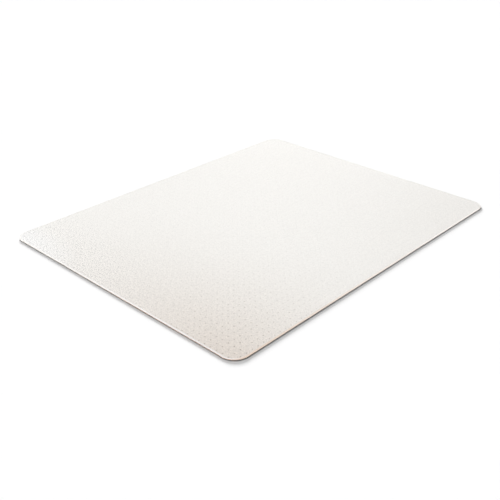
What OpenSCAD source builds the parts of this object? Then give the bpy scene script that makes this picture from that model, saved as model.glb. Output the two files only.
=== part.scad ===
// Rectangular chair mat for carpet, in millimetres.
// A clear vinyl sheet with a ramped rim and rounded corners stands on rows of small gripper studs.
// Z is up, the stud tips stand on z = 0 and the origin is under the middle of the mat.

/* [Sheet] */
// Length of the mat, along X
mat_l = 1524; // [800:1:1830]
// Width of the mat, along Y
mat_w = 1219; // [600:1:1525]
// Thickness of the flat sheet, without the studs
sheet_t = 2.8; // [2:0.1:6]
// Radius of the four corners, seen from above
corner_r = 58; // [20:1:150]

/* [Rim] */
// How far the ramp reaches in from the outline
ramp_w = 5.5; // [2:0.5:15]
// Height of the upright edge face under the ramp
edge_t = 1.2; // [0.5:0.1:1.8]

/* [Studs] */
// Distance from one stud to the next, along X and along Y
stud_pitch = 25.9; // [20:0.1:60]
// Height of a stud, from its tip to the sheet
stud_h = 3.2; // [2:0.1:10]
// Diameter of a stud where it meets the sheet
stud_base_d = 4.2; // [3:0.1:8]
// Diameter of a stud's flat tip
stud_tip_d = 2; // [1:0.1:3]
// Least distance from the outline to a stud
stud_margin = 3; // [2:0.5:12]

/* [Hidden] */
vinyl_tint = [0.95, 0.94, 0.92, 0.8];
stud_tint = [0.86, 0.84, 0.81];
// Enough sides for a true circle
round_fn = 48;

// Half the mat less its corner radius: the centres of the four corner arcs
arc_x = mat_l / 2 - corner_r;
arc_y = mat_w / 2 - corner_r;

// A stud's centre stays this far inside the outline
stud_inset = stud_margin + stud_base_d / 2;
// Most studs that fit along a length, with the row centred on the mat
function stud_count(length) = 1 + floor((length - 2 * stud_inset) / stud_pitch);
columns = stud_count(mat_l);
rows = stud_count(mat_w);
// Place of one stud in a centred row of count studs
function stud_place(i, count) = (i - (count - 1) / 2) * stud_pitch;

// Where the outline turns, a stud needs room to the corner arc as well
function past_arc(x, y) = norm([max(abs(x) - arc_x, 0), max(abs(y) - arc_y, 0)]);
function fits(x, y) = past_arc(x, y) <= corner_r - stud_inset;
function on_rim(i, j) = i == 0 || j == 0 || i == columns - 1 || j == rows - 1;
function stud_sites(rim) = [
    for (i = [0 : columns - 1], j = [0 : rows - 1])
        let (x = stud_place(i, columns), y = stud_place(j, rows))
            if (on_rim(i, j) == rim && fits(x, y)) [x, y]
];

// Half the sheet's cross-section, from the middle out to an outline reach away
module half_section(reach) {
    polygon([
        [0, stud_h],
        [reach, stud_h],
        [reach, stud_h + edge_t],
        [reach - ramp_w, stud_h + sheet_t],
        [0, stud_h + sheet_t]
    ]);
}

// A straight stretch of the sheet along X, with the ramp on both of its long sides
module strip(length, width) {
    rotate([90, 0, 90]) linear_extrude(length, center = true) {
        half_section(width / 2);
        mirror([1, 0]) half_section(width / 2);
    }
}

module mat_sheet() {
    color(vinyl_tint) {
        strip(2 * arc_x, mat_w);
        rotate([0, 0, 90]) strip(2 * arc_y, mat_l);
        for (turn = [0, 180]) rotate([0, 0, turn]) {
            translate([arc_x, arc_y]) rotate_extrude(angle = 90, $fn = round_fn) half_section(corner_r);
            translate([-arc_x, arc_y]) rotate([0, 0, 90])
                rotate_extrude(angle = 90, $fn = round_fn) half_section(corner_r);
        }
    }
}

module studs(sites) {
    color(stud_tint) for (site = sites) translate(site)
        cylinder(h = stud_h, d1 = stud_tip_d, d2 = stud_base_d, $fn = round_fn);
}

// The outermost ring of studs, which holds the rim down
module rim_studs() {
    studs(stud_sites(true));
}

// All the other studs
module field_studs() {
    studs(stud_sites(false));
}

mat_sheet();
rim_studs();
field_studs();
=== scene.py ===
import math
import bpy
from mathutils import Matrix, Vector


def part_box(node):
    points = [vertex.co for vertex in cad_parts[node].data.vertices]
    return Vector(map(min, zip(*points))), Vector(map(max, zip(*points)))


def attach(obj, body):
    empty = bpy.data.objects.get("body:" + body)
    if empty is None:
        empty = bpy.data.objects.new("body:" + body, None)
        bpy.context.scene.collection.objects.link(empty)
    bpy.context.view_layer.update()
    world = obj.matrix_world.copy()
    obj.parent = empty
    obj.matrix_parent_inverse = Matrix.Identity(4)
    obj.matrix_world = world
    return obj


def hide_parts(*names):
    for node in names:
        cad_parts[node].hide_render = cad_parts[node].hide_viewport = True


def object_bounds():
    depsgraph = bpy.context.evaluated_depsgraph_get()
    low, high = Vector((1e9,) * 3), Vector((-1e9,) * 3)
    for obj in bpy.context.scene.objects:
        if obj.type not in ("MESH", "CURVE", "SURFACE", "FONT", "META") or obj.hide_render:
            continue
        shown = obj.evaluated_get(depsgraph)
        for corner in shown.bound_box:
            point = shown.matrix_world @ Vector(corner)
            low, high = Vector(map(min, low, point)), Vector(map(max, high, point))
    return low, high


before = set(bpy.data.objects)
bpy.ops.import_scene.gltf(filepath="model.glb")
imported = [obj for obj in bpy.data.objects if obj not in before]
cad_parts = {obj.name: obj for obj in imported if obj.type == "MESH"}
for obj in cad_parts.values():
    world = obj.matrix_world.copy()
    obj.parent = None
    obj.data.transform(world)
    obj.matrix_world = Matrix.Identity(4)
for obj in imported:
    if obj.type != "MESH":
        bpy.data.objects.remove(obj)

cadLow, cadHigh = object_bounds()
print("frame loaded:", ", ".join(sorted(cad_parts)))


# small helpers

def linear(hexColour):  # sRGB hex to linear, opaque
    parts = [int(hexColour[i:i + 2], 16) / 255 for i in (0, 2, 4)]
    return [c / 12.92 if c <= 0.04045 else ((c + 0.055) / 1.055) ** 2.4 for c in parts] + [1]


def addNode(tree, kind, sockets=(), **settings):
    # a socket is named, or numbered where names repeat: the two colours of a Mix are 6 and 7, its
    # result 2. It takes a value or another node's output
    node = tree.nodes.new("ShaderNode" + kind)
    for name, value in settings.items():
        setattr(node, name, value)
    for name, value in dict(sockets).items():
        if isinstance(value, bpy.types.NodeSocket):
            tree.links.new(value, node.inputs[name])
        else:
            node.inputs[name].default_value = value
    return node


def newMaterial(name):  # a material that holds only its output node
    material = bpy.data.materials.new(name)
    material.use_nodes = True
    material.node_tree.nodes.clear()
    return material, material.node_tree, addNode(material.node_tree, "OutputMaterial")


def along(tree, axis, start, stop):  # 0 at one place along an axis, 1 at another
    place = addNode(tree, "SeparateXYZ", {0: addNode(tree, "TexCoord").outputs["Object"]})
    return addNode(tree, "MapRange", {
        "Value": place.outputs[axis], "From Min": start, "From Max": stop}).outputs["Result"]


def nearCorner(tree, corner, reach, here=1.0, hold=0.0):
    # here at a corner and over the first part of the reach, hold, then falling to 0 at its end
    place = addNode(tree, "Mapping", {
        "Vector": addNode(tree, "TexCoord").outputs["Object"],
        "Location": [-at / far for at, far in zip(corner, reach)],
        "Scale": [1 / far for far in reach]})
    away = addNode(tree, "VectorMath", {0: place.outputs[0]}, operation="LENGTH")
    return addNode(tree, "MapRange", {
        "Value": away.outputs["Value"], "From Min": hold, "To Min": here, "To Max": 0.0}).outputs["Result"]


def pick(piece, kind, wanted):  # edit mode, with only the parts selected for which wanted() is true
    bpy.ops.object.mode_set(mode="EDIT")
    bpy.ops.mesh.select_mode(type=kind)
    bpy.ops.mesh.select_all(action="DESELECT")
    bpy.ops.object.mode_set(mode="OBJECT")
    mesh = piece.data
    if kind == "FACE":
        for face in mesh.polygons:
            face.select = wanted(face)
    elif kind == "EDGE":
        for edge in mesh.edges:
            edge.select = wanted(*(mesh.vertices[i].co for i in edge.vertices))
    else:
        for vertex in mesh.vertices:
            vertex.select = wanted(vertex.co)
    bpy.ops.object.mode_set(mode="EDIT")


def near(a, b):  # the same height, to a hundredth of a millimetre
    return abs(a - b) < 0.00001


# vinyl: plasticised PVC, extruded clear and frosted by the grain rolled into it

vinyl = {
    "ior": 1.53,
    "milky": "e1dfdb",  # where the sheet scatters most
    "cornerShade": "cac1b8",  # painted shade: the vinyl darker and warmer towards one corner
    "cornerShadeReach": (0.75, 1.5, 1.0),  # the painted shade is deepest at one corner and fades into the milky vinyl this far along X and Y
    "cornerShadeFade": 2.0,  # and deepens faster towards the corner
    "cloud": 1.4,  # the size of the slow clouds that lie over that
    "cloudPlace": (0.63, 25.41, 0.0),
    "cloudSpan": (0.25, 0.65),  # the noise at a cloud's dark and pale side
    "cloudDepth": 0.10,
    "cornerHighlight": "e6e6e5",  # painted highlight: the vinyl whiter right at another corner
    "cornerHighlightReach": (0.14, 0.4, 1.0),
    "grain": 0.0022,  # the real grain is about 0.5 mm; this coarse, it still shows across a room
    "grainSpan": (0.3, 0.7),  # the noise in the grain's pits and on its peaks
    "grainInShade": 0.38,  # how far the grain lightens and darkens the vinyl in the painted corner shade
    "grainMilky": 0.17,  # and the milky vinyl, away from the painted corner shade
    "grainDepth": 0.00016,
    "glintCell": 0.0055,  # painted glints: coarse light and dark specks round the highlight corner
    "glintDepth": 0.29,  # how far the painted glints lighten and darken the vinyl
    "glintReach": (0.33, 1.0, 1.0),
    "glintHold": 0.45,  # over this share of the reach it keeps its full depth
    "glintSpan": (0.73, 0.05),  # the distance to the middle of a glint, in cells, at its rim and its middle
    "glintSpread": 0.8,  # 0 would set the glints in rows, 1 scatters them freely
    "rootAndShadeColour": "5c3d1c",  # a stud's root and the shade under the sheet, seen through the haze: partly painted shade
    "rootNear": 1.15,  # how much of it shows at the painted shaded corner; over 1, a root's soft rim shows more too
    "rootFar": 0.13,  # and how much far from it; the fall between is painted, standing in for the sheen that washes the dots out
    "rootReach": (2.0, 2.0, 1.0),
    "rootFade": 7.0,  # how steeply it falls between the two
    "rootFaintest": 0.5,  # each root shows by its own share, from this to 1
    "rootRim": (1.3, 0.9),  # a root's soft rim, from its outside to its inside, in base radii
    "sinkDepth": 0.00006,  # the top is drawn in a little over each stud as the vinyl cools
    "roughness": (0.32, 0.44),
    "undersideRoughness": (0.22, 0.32),
    "undersideDepth": 0.00002,
}

# the corner towards which the vinyl is painted darker and warmer, as shade
shadedCorner = cadLow
# the corner of the painted highlight and the painted glints
highlightCorner = (cadLow.x, cadHigh.y, cadLow.z)


def milkinessAndShade(tree):  # 0 at the corner of the painted shade, 1 where the vinyl is milkiest; the slow clouds are its own
    place = addNode(tree, "TexCoord").outputs["Object"]
    shifted = addNode(tree, "VectorMath", {0: place, 1: vinyl["cloudPlace"]}, operation="ADD")
    cloud = addNode(tree, "TexNoise", {
        "Vector": shifted.outputs[0], "Scale": 1 / vinyl["cloud"], "Detail": 1.0, "Roughness": 0.5})
    dark, pale = vinyl["cloudSpan"]
    clouded = addNode(tree, "MapRange", {
        "Value": cloud.outputs["Fac"], "From Min": dark, "From Max": pale,
        "To Min": 1 - vinyl["cloudDepth"], "To Max": 1.0})
    # the painted shade, deepest at the shaded corner
    clear = addNode(tree, "Math", {
        0: nearCorner(tree, shadedCorner, vinyl["cornerShadeReach"]), 1: vinyl["cornerShadeFade"]}, operation="POWER")
    return addNode(tree, "Math", {
        0: clouded.outputs["Result"], 1: clear.outputs[0]}, operation="SUBTRACT", use_clamp=True).outputs[0]


def mottleAndPaintedLight(tree, hazeAndShade):  # the rolled grain, and the colour that it, the haze and the painted corner shade give the vinyl, with a painted highlight and painted glints at another corner
    place = addNode(tree, "TexCoord").outputs["Object"]
    grain = addNode(tree, "TexNoise", {
        "Vector": place, "Scale": 1 / vinyl["grain"], "Detail": 2.0, "Roughness": 0.6}).outputs["Fac"]
    swing = addNode(tree, "MapRange", {
        "Value": hazeAndShade, "To Min": vinyl["grainInShade"], "To Max": vinyl["grainMilky"]})
    pit, peak = vinyl["grainSpan"]
    speckle = addNode(tree, "MapRange", {
        "Value": grain, "From Min": pit, "From Max": peak, "To Min": -1.0})
    fine = addNode(tree, "Math", {
        0: speckle.outputs["Result"], 1: swing.outputs["Result"], 2: 1.0}, operation="MULTIPLY_ADD")

    # painted glints round the highlight corner, lightening and darkening the colour
    glintCells = addNode(tree, "TexVoronoi", {
        "Vector": place, "Scale": 1 / vinyl["glintCell"],
        "Randomness": vinyl["glintSpread"]}, voronoi_dimensions="2D")
    rim, middle = vinyl["glintSpan"]
    glints = addNode(tree, "MapRange", {
        "Value": glintCells.outputs["Distance"], "From Min": rim, "From Max": middle, "To Min": -1.0})
    glintShare = nearCorner(
        tree, highlightCorner, vinyl["glintReach"], vinyl["glintDepth"], vinyl["glintHold"])
    level = addNode(tree, "Math", {
        0: glints.outputs["Result"], 1: glintShare, 2: fine.outputs[0]}, operation="MULTIPLY_ADD")

    hazeAndShadeColour = addNode(tree, "Mix", {
        "Factor": hazeAndShade, 6: linear(vinyl["cornerShade"]), 7: linear(vinyl["milky"])}, data_type="RGBA")
    # a painted highlight at the second corner
    highlit = addNode(tree, "Mix", {
        "Factor": nearCorner(tree, highlightCorner, vinyl["cornerHighlightReach"]),
        6: hazeAndShadeColour.outputs[2], 7: linear(vinyl["cornerHighlight"])}, data_type="RGBA")
    colour = addNode(tree, "VectorMath", {
        0: highlit.outputs[2], "Scale": level.outputs[0]}, operation="SCALE")
    return grain, colour.outputs[0]


# where the studs stand under the top; their sizes are with makeStuds

def toStud(tree, axis):  # the signed distance to the nearest row of studs along one axis
    place = addNode(tree, "SeparateXYZ", {0: addNode(tree, "TexCoord").outputs["Object"]})
    middle = addNode(tree, "Math", {0: place.outputs[axis], 1: stud["pitch"] / 2}, operation="ADD")
    within = addNode(tree, "Math", {0: middle.outputs[0], 1: stud["pitch"]}, operation="FLOORED_MODULO")
    return addNode(tree, "Math", {
        0: within.outputs[0], 1: stud["pitch"] / 2}, operation="SUBTRACT").outputs[0]


def overStuds(tree):  # 1 over the middle of each stud, falling softly to 0 past its root
    across = addNode(tree, "CombineXYZ", {0: toStud(tree, "X"), 1: toStud(tree, "Y")})
    far = addNode(tree, "VectorMath", {0: across.outputs[0]}, operation="LENGTH")
    outside, inside = vinyl["rootRim"]
    return addNode(tree, "MapRange", {
        "Value": far.outputs["Value"], "From Min": stud["baseRadius"] * outside,
        "From Max": stud["baseRadius"] * inside}, interpolation_type="SMOOTHSTEP").outputs["Result"]


def rootShare(tree):  # how strongly a root shows: a chance of its own, and more near the painted shaded corner, painted as if sheen washed the dots out further off
    place = addNode(tree, "TexCoord").outputs["Object"]
    site = addNode(tree, "VectorMath", {0: place, 1: (stud["pitch"] / 2,) * 3}, operation="ADD")
    cell = addNode(tree, "VectorMath", {0: site.outputs[0], 1: (stud["pitch"],) * 3}, operation="SNAP")
    chance = addNode(tree, "TexWhiteNoise", {"Vector": cell.outputs[0]})
    own = addNode(tree, "MapRange", {
        "Value": chance.outputs["Value"], "To Min": vinyl["rootFaintest"], "To Max": 1.0})
    close = addNode(tree, "Math", {
        0: nearCorner(tree, shadedCorner, vinyl["rootReach"]), 1: vinyl["rootFade"]}, operation="POWER")
    through = addNode(tree, "MapRange", {
        "Value": close.outputs[0], "To Min": vinyl["rootFar"], "To Max": vinyl["rootNear"]})
    return addNode(tree, "Math", {
        0: own.outputs["Result"], 1: through.outputs["Result"]}, operation="MULTIPLY").outputs[0]


def frostedTop():
    # Extruded PVC with a rolled grain. It gives a soft sheen that grows at grazing angles, a fine
    # speckle, and a haze through which the stud roots show as faint dots in rows. Its colour also
    # holds painted shade at one corner, and a painted highlight and painted glints at another.
    material, tree, out = newMaterial("pvcExtrudedFrosted")
    grain, vinylColour = mottleAndPaintedLight(tree, milkinessAndShade(tree))
    root = overStuds(tree)
    shown = addNode(tree, "Math", {0: root, 1: rootShare(tree)}, operation="MULTIPLY")
    colour = addNode(tree, "Mix", {
        "Factor": shown.outputs[0], 6: vinylColour, 7: linear(vinyl["rootAndShadeColour"])}, data_type="RGBA")
    smooth, rough = vinyl["roughness"]
    shine = addNode(tree, "MapRange", {"Value": grain, "To Min": smooth, "To Max": rough})
    sink = addNode(tree, "Bump", {"Height": root, "Distance": vinyl["sinkDepth"]}, invert=True)
    bump = addNode(tree, "Bump", {
        "Height": grain, "Distance": vinyl["grainDepth"], "Normal": sink.outputs["Normal"]})
    skin = addNode(tree, "BsdfPrincipled", {
        "Base Color": colour.outputs[2], "Roughness": shine.outputs["Result"],
        "IOR": vinyl["ior"], "Normal": bump.outputs["Normal"]})
    tree.links.new(skin.outputs["BSDF"], out.inputs["Surface"])
    return material


def underside():
    # The smooth face that the studs grow from. It ran over a polished roller, so it is the same
    # milky vinyl with a tighter shine and hardly any relief, with the same painted shade, highlight
    # and glints as the top.
    material, tree, out = newMaterial("pvcSmoothUnderside")
    hazeAndShade = milkinessAndShade(tree)
    grain, vinylColour = mottleAndPaintedLight(tree, hazeAndShade)
    smooth, rough = vinyl["undersideRoughness"]
    shine = addNode(tree, "MapRange", {"Value": hazeAndShade, "To Min": smooth, "To Max": rough})
    bump = addNode(tree, "Bump", {"Height": grain, "Distance": vinyl["undersideDepth"]})
    skin = addNode(tree, "BsdfPrincipled", {
        "Base Color": vinylColour, "Roughness": shine.outputs["Result"],
        "IOR": vinyl["ior"], "Normal": bump.outputs["Normal"]})
    tree.links.new(skin.outputs["BSDF"], out.inputs["Surface"])
    return material


# the cut faces: a ramp milled round the top and a sawn edge under it, warmest near the corner of the
# painted shade

cut = {
    "frontWidth": 0.03,  # over this width the -Y side's cut faces take colours of their own, painted light and shade of that side
    # the ramp's tone under the painted corner shade and away from it; the paler one is partly a painted
    # highlight
    "rampShaded": "d4d0ce",
    "rampMilky": "e6e4e1",
    "frontRampStart": "d4bfac",  # painted light: along -Y the ramp starts peach at the corner of the painted shade
    "frontRampEnd": "eee9e3",
    "frontRampReach": 1.1,  # and has paled this far on
    "rampMarks": 400.0,  # to the metre, one every 2.5 mm; real tool marks are finer and don't show
    "rampMarkDepth": 0.00003,
    "rampRoughness": (0.30, 0.45),
    "edgeShaded": "d9a07a",  # along the sawn edge it is amber under the painted corner shade
    "edgeMilky": "e3d0bf",
    "edgeSpan": (0.45, 0.85),  # the haze at which the amber starts to pale and at which it has
    "frontEdgeShaded": "b8a898",
    "frontEdgeMilky": "d4c8bc",
    "edgeMarks": 700.0,  # to the metre, one every 1.4 mm; real saw marks are finer and don't show
    "edgeMarkDepth": 0.00005,
    "edgeRoughness": (0.35, 0.60),
}


def frontShare(tree):  # 1 on the -Y side, 0 elsewhere
    return along(tree, "Y", cadLow.y + cut["frontWidth"], cadLow.y)


def milledRamp():
    # The ramp is milled after extrusion: the cut leaves the vinyl whiter and duller than the
    # grained top. Its colour is also a painted highlight, so the ramp reads as a pale line round the mat.
    material, tree, out = newMaterial("pvcMilledRamp")
    place = addNode(tree, "TexCoord").outputs["Object"]
    marks = addNode(tree, "TexNoise", {
        "Vector": place, "Scale": cut["rampMarks"], "Detail": 2.0}).outputs["Fac"]
    bump = addNode(tree, "Bump", {"Height": marks, "Distance": cut["rampMarkDepth"]})
    smooth, rough = cut["rampRoughness"]
    shine = addNode(tree, "MapRange", {"Value": marks, "To Min": smooth, "To Max": rough})
    plain = addNode(tree, "Mix", {
        "Factor": milkinessAndShade(tree),
        6: linear(cut["rampShaded"]), 7: linear(cut["rampMilky"])}, data_type="RGBA")
    front = addNode(tree, "Mix", {
        "Factor": along(tree, "X", cadLow.x, cadLow.x + cut["frontRampReach"]),
        6: linear(cut["frontRampStart"]), 7: linear(cut["frontRampEnd"])}, data_type="RGBA")
    colour = addNode(tree, "Mix", {
        "Factor": frontShare(tree), 6: plain.outputs[2], 7: front.outputs[2]}, data_type="RGBA")
    skin = addNode(tree, "BsdfPrincipled", {
        "Base Color": colour.outputs[2], "Roughness": shine.outputs["Result"],
        "IOR": vinyl["ior"], "Normal": bump.outputs["Normal"]})
    tree.links.new(skin.outputs["BSDF"], out.inputs["Surface"])
    return material


def sawnEdge():
    # The upright edge is sawn and not polished: looking in through it, the whole width of the
    # sheet lies behind, so it is warmer than the top. It is painted amber under the corner shade, and
    # along -Y it takes tones of its own, painted light and shade of that side.
    material, tree, out = newMaterial("pvcSawnEdge")
    hazeAndShade = milkinessAndShade(tree)
    place = addNode(tree, "TexCoord").outputs["Object"]
    marks = addNode(tree, "TexNoise", {
        "Vector": place, "Scale": cut["edgeMarks"], "Detail": 3.0}).outputs["Fac"]
    bump = addNode(tree, "Bump", {"Height": marks, "Distance": cut["edgeMarkDepth"]})
    smooth, rough = cut["edgeRoughness"]
    shine = addNode(tree, "MapRange", {"Value": marks, "To Min": smooth, "To Max": rough})
    amber, paled = cut["edgeSpan"]
    paling = addNode(tree, "MapRange", {"Value": hazeAndShade, "From Min": amber, "From Max": paled})
    plain = addNode(tree, "Mix", {
        "Factor": paling.outputs["Result"],
        6: linear(cut["edgeShaded"]), 7: linear(cut["edgeMilky"])}, data_type="RGBA")
    front = addNode(tree, "Mix", {
        "Factor": hazeAndShade,
        6: linear(cut["frontEdgeShaded"]), 7: linear(cut["frontEdgeMilky"])}, data_type="RGBA")
    colour = addNode(tree, "Mix", {
        "Factor": frontShare(tree), 6: plain.outputs[2], 7: front.outputs[2]}, data_type="RGBA")
    skin = addNode(tree, "BsdfPrincipled", {
        "Base Color": colour.outputs[2], "Roughness": shine.outputs["Result"],
        "IOR": vinyl["ior"], "Normal": bump.outputs["Normal"]})
    tree.links.new(skin.outputs["BSDF"], out.inputs["Surface"])
    return material


# the sheet: a flat board with rounded corners and a ramp cut all round

sheet = {
    "cornerRadius": 0.058,
    "cornerSegments": 20,
    "rampWidth": 0.0055,
    "edgeHeight": 0.0012,
    "crestRound": 0.0008,  # the ramp's crest is rolled over a little
    "crestSegments": 3,
    "edgeRound": 0.00025,  # the sawn edges are only broken
    "edgeSegments": 2,
    "flatBorder": 0.004,  # a narrow flat band that keeps the shading of the top level
    "smoothAngle": 40,
    # what a face is follows from how far up it points, from -1 to 1
    "underFacing": -0.9,  # underside below this
    "edgeFacing": 0.5,  # sawn edge below this
    "rampFacing": 0.995,  # ramp below this, and the grained top above
    "levelFacing": 0.999,  # the flat of the top above this
}


def makeSheet():
    low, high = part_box("mat_sheet")
    middle = (low + high) / 2
    rampTop = high.z
    edgeTop = low.z + sheet["edgeHeight"]
    bpy.ops.object.select_all(action="DESELECT")
    bpy.ops.mesh.primitive_plane_add(size=1, location=(middle.x, middle.y, low.z))
    piece = bpy.context.object
    piece.name = "vinylSheet"
    piece.scale = (high.x - low.x, high.y - low.y, 1)
    bpy.ops.object.transform_apply(location=True, rotation=True, scale=True)

    pick(piece, "VERT", lambda co: True)  # rounds the four corners
    bpy.ops.mesh.bevel(
        offset=sheet["cornerRadius"], segments=sheet["cornerSegments"], affect="VERTICES")
    bpy.ops.mesh.select_all(action="SELECT")
    bpy.ops.mesh.extrude_region_move(
        TRANSFORM_OT_translate={"value": (0, 0, sheet["edgeHeight"])})
    bpy.ops.mesh.inset(  # the ramp
        thickness=sheet["rampWidth"], depth=rampTop - edgeTop, use_even_offset=True)
    bpy.ops.mesh.select_all(action="SELECT")
    bpy.ops.mesh.normals_make_consistent(inside=False)

    pick(piece, "EDGE", lambda a, b: near(a.z, rampTop) and near(b.z, rampTop))
    bpy.ops.mesh.bevel(
        offset=sheet["crestRound"], segments=sheet["crestSegments"], affect="EDGES")
    pick(piece, "EDGE", lambda a, b: near(a.z, b.z) and (near(a.z, edgeTop) or near(a.z, low.z)))
    bpy.ops.mesh.bevel(
        offset=sheet["edgeRound"], segments=sheet["edgeSegments"], affect="EDGES")
    pick(piece, "FACE", lambda face: (
        near(face.center.z, rampTop) and face.normal.z > sheet["levelFacing"]))
    bpy.ops.mesh.inset(thickness=sheet["flatBorder"], depth=0, use_even_offset=True)
    bpy.ops.object.mode_set(mode="OBJECT")
    bpy.ops.object.shade_smooth_by_angle(angle=math.radians(sheet["smoothAngle"]))

    for material in (frostedTop(), milledRamp(), sawnEdge(), underside()):
        piece.data.materials.append(material)
    for face in piece.data.polygons:  # 0, the grained top, unless it faces less far up
        if face.normal.z < sheet["underFacing"]:
            face.material_index = 3
        elif face.normal.z < sheet["edgeFacing"]:
            face.material_index = 2
        elif face.normal.z < sheet["rampFacing"]:
            face.material_index = 1
    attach(piece, "root")
    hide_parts("mat_sheet")
    print("sheet made,", len(piece.data.polygons), "faces")
    return piece


# the studs: one is modelled, then repeated in columns and rows and cleared from the corners

stud = {
    "pitch": 0.0259,
    "baseRadius": 0.0021,
    "tipRadius": 0.0010,
    "sides": 10,
    "topFacing": 0.9,  # only its flat root faces up further than this
    "tipRound": 0.0003,
    "rootHeight": 0.0005,  # the small flare where it runs into the sheet
    "rootFlare": 1.12,
    "seatGap": 0.00003,  # keeps its flat root clear of the sheet's underside
    "margin": 0.003,  # least distance from the outline
    "smoothAngle": 50,
    "darker": "8f8780",
    "paler": "a59d95",
    "flowMarks": 450.0,  # to the metre, one every 2.2 mm, about the width of a tip
    "flowDepth": 0.00004,
    "roughness": (0.22, 0.38),
}


def mouldedStud():
    # The studs are moulded with the sheet: with it the vinyl is 6 mm deep here, so they hold back
    # more light than the thin sheet does and read as small greyer points.
    material, tree, out = newMaterial("pvcMouldedStud")
    place = addNode(tree, "TexCoord").outputs["Object"]
    flow = addNode(tree, "TexNoise", {
        "Vector": place, "Scale": stud["flowMarks"], "Detail": 2.0}).outputs["Fac"]
    colour = addNode(tree, "Mix", {
        "Factor": flow, 6: linear(stud["darker"]), 7: linear(stud["paler"])}, data_type="RGBA")
    smooth, rough = stud["roughness"]
    shine = addNode(tree, "MapRange", {"Value": flow, "To Min": smooth, "To Max": rough})
    bump = addNode(tree, "Bump", {"Height": flow, "Distance": stud["flowDepth"]})
    skin = addNode(tree, "BsdfPrincipled", {
        "Base Color": colour.outputs[2], "Roughness": shine.outputs["Result"],
        "IOR": vinyl["ior"], "Normal": bump.outputs["Normal"]})
    tree.links.new(skin.outputs["BSDF"], out.inputs["Surface"])
    return material


def makeStuds():
    rimLow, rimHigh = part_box("rim_studs")
    first = Vector((rimLow.x + stud["baseRadius"], rimLow.y + stud["baseRadius"], 0))
    columns = round((-2 * first.x) / stud["pitch"]) + 1
    rows = round((-2 * first.y) / stud["pitch"]) + 1
    rootZ = rimHigh.z - stud["seatGap"]
    neckZ = rootZ - stud["rootHeight"]

    bpy.ops.object.select_all(action="DESELECT")
    bpy.ops.mesh.primitive_cone_add(
        vertices=stud["sides"], radius1=stud["tipRadius"], radius2=stud["baseRadius"],
        depth=neckZ - rimLow.z, location=(first.x, first.y, (neckZ + rimLow.z) / 2))
    studs = bpy.context.object
    studs.name = "fieldStuds"
    bpy.ops.object.transform_apply(location=True, rotation=True, scale=True)
    pick(studs, "FACE", lambda face: face.normal.z > stud["topFacing"])  # flares out into the sheet
    bpy.ops.mesh.extrude_region_move(
        TRANSFORM_OT_translate={"value": (0, 0, stud["rootHeight"])})
    bpy.ops.transform.resize(value=(stud["rootFlare"], stud["rootFlare"], 1))
    pick(studs, "EDGE", lambda a, b: near(a.z, rimLow.z) and near(b.z, rimLow.z))
    bpy.ops.mesh.bevel(offset=stud["tipRound"], segments=1, affect="EDGES")
    bpy.ops.object.mode_set(mode="OBJECT")
    bpy.ops.object.shade_smooth_by_angle(angle=math.radians(stud["smoothAngle"]))

    for count, step in ((columns, (stud["pitch"], 0, 0)), (rows, (0, stud["pitch"], 0))):
        repeat = studs.modifiers.new("repeat", "ARRAY")
        repeat.use_relative_offset = False
        repeat.use_constant_offset = True
        repeat.constant_offset_displace = step
        repeat.count = count
        bpy.ops.object.modifier_apply(modifier=repeat.name)

    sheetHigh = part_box("mat_sheet")[1]
    arcX = sheetHigh.x - sheet["cornerRadius"]
    arcY = sheetHigh.y - sheet["cornerRadius"]
    reach = sheet["cornerRadius"] - stud["margin"] - stud["baseRadius"]

    def site(co, start):  # how far out the stud stands that this point belongs to
        return abs(start + round((co - start) / stud["pitch"]) * stud["pitch"])

    def outside(co):  # it has no room inside the corner's arc
        past = Vector((max(site(co.x, first.x) - arcX, 0), max(site(co.y, first.y) - arcY, 0)))
        return past.length > reach

    def onRim(co):
        half = stud["pitch"] / 2
        return abs(co.x) > -first.x - half or abs(co.y) > -first.y - half

    pick(studs, "VERT", outside)
    bpy.ops.mesh.delete(type="VERT")
    pick(studs, "VERT", onRim)
    bpy.ops.mesh.separate(type="SELECTED")
    bpy.ops.object.mode_set(mode="OBJECT")
    rim = next(o for o in bpy.context.selected_objects if o != studs)
    rim.name = "rimStuds"

    material = mouldedStud()
    pieces = [studs, rim]
    for piece, node in ((studs, "field_studs"), (rim, "rim_studs")):
        piece.data.materials.clear()
        piece.data.materials.append(material)
        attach(piece, "root")
        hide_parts(node)
        piece.data.calc_loop_triangles()
        print(piece.name, "made,", len(piece.data.loop_triangles), "triangles")
    return pieces


# the floor, the light and the camera

studio = {
    "floorSize": 60.0,
    "floorColour": "fcfcfc",
    "floorLift": 0.02,  # what the camera sees on top of the light that falls on the floor
    "worldStrength": 0.10,
    "lampHeight": 3,  # sun lamps shine the same from any height
    # the floor has lamps of its own, so that it can be white while the mat's are down at a plain
    # level; a sheen lamp shows in the mat's gloss and nowhere else. Heading is towards the lamp,
    # seen from above; level is the share of a plain exposure
    "lamps": {
        "lowBack": {"on": "floor", "heading": (0.61, 0.79), "elevation": 12, "width": 11, "level": 0.48},
        "highBack": {"on": "floor", "heading": (0.50, 0.87), "elevation": 52, "width": 60, "level": 0.37},
        "leftFill": {"on": "floor", "heading": (-0.80, 0.60), "elevation": 35, "width": 40, "level": 0.07},
        "frontSoft": {"on": "mat", "heading": (-0.80, -0.60), "elevation": 30, "width": 40, "level": 0.50},
        "topSoft": {"on": "mat", "heading": (0.62, 0.78), "elevation": 55, "width": 60, "level": 0.40},
        "backBox": {"on": "sheen", "heading": (0.18, 0.98), "elevation": 52, "width": 85, "level": 0.41},
        "backLow": {"on": "sheen", "heading": (0.79, 0.61), "elevation": 12, "width": 24, "level": 0.0105},
    },
}


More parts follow.
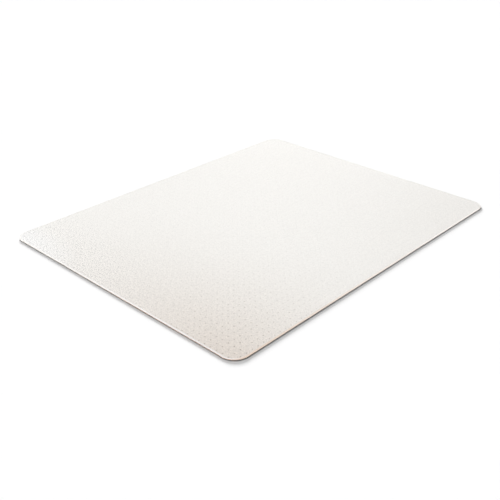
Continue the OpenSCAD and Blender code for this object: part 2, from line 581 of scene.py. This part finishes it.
def seenRays(tree):  # 1 for what the camera sees, straight or in gloss or glass
    rays = addNode(tree, "LightPath").outputs
    seen = addNode(tree, "Math", {
        0: rays["Is Camera Ray"], 1: rays["Is Glossy Ray"]}, operation="ADD", use_clamp=True)
    return addNode(tree, "Math", {
        0: seen.outputs[0], 1: rays["Is Transmission Ray"]}, operation="ADD", use_clamp=True).outputs[0]


def makeFloor():
    bpy.ops.object.select_all(action="DESELECT")
    bpy.ops.mesh.primitive_plane_add(size=studio["floorSize"], location=(0, 0, cadLow.z))
    floor = bpy.context.object
    floor.name = "floor"
    material, tree, out = newMaterial("paperSweep")
    paper = addNode(tree, "BsdfDiffuse", {"Color": linear(studio["floorColour"])})
    lift = addNode(tree, "Math", {0: seenRays(tree), 1: studio["floorLift"]}, operation="MULTIPLY")
    glow = addNode(tree, "Emission", {"Strength": lift.outputs[0]})
    both = addNode(tree, "AddShader", {0: paper.outputs[0], 1: glow.outputs[0]})
    tree.links.new(both.outputs[0], out.inputs["Surface"])
    floor.data.materials.append(material)
    print("floor laid,", studio["floorSize"], "m square")
    return floor


def makeLight(floor, pieces):
    receivers = {}
    for name, members in (("floor", [floor]), ("mat", pieces)):
        receivers[name] = bpy.data.collections.new("lightOn" + name.title())
        for member in members:
            receivers[name].objects.link(member)

    world = bpy.data.worlds.new("studio")
    bpy.context.scene.world = world
    world.use_nodes = True
    tree = world.node_tree
    strength = addNode(tree, "MapRange", {
        "Value": seenRays(tree), "To Min": studio["worldStrength"], "To Max": 1.0})
    background = tree.nodes["Background"]
    background.inputs["Color"].default_value = (1, 1, 1, 1)
    tree.links.new(strength.outputs["Result"], background.inputs["Strength"])

    for name, lamp in studio["lamps"].items():
        bpy.ops.object.light_add(type="SUN", location=(0, 0, studio["lampHeight"]))
        sun = bpy.context.object
        sun.name = name
        rise = math.radians(lamp["elevation"])
        heading = Vector(lamp["heading"]).normalized() * math.cos(rise)
        sun.data.energy = lamp["level"] * math.pi / math.sin(rise)
        sun.data.angle = math.radians(lamp["width"])
        sun.rotation_mode = "QUATERNION"
        sun.rotation_quaternion = Vector((*heading, math.sin(rise))).to_track_quat("Z", "Y")
        sun.visible_glossy = lamp["on"] == "sheen"
        sun.visible_diffuse = lamp["on"] != "sheen"
        sun.light_linking.receiver_collection = receivers.get(lamp["on"], receivers["mat"])
    print("lamps set:", ", ".join(studio["lamps"]))


lens = {
    "azimuth": -47.163,
    "elevation": 28.479,
    "distance": 2.9017,
    "lookAt": (-0.1809, -0.1727, 0),
    "focal": 54.827,
    "sensorWidth": 36,
    "shift": -0.0207,
}


def makeCamera():
    turn = math.radians(lens["azimuth"])
    rise = math.radians(lens["elevation"])
    back = Vector((math.sin(turn) * math.cos(rise), -math.cos(turn) * math.cos(rise), math.sin(rise)))
    bpy.ops.object.camera_add(location=Vector(lens["lookAt"]) + back * lens["distance"])
    camera = bpy.context.object
    camera.data.lens = lens["focal"]
    camera.data.sensor_width = lens["sensorWidth"]
    camera.data.shift_x = lens["shift"]
    camera.rotation_mode = "QUATERNION"
    camera.rotation_quaternion = (-back).to_track_quat("-Z", "Y")
    bpy.context.scene.camera = camera
    bpy.context.scene.view_settings.view_transform = "Standard"
    print("camera set,", lens["focal"], "mm lens")


pieces = [makeSheet()] + makeStuds()
makeLight(makeFloor(), pieces)
makeCamera()
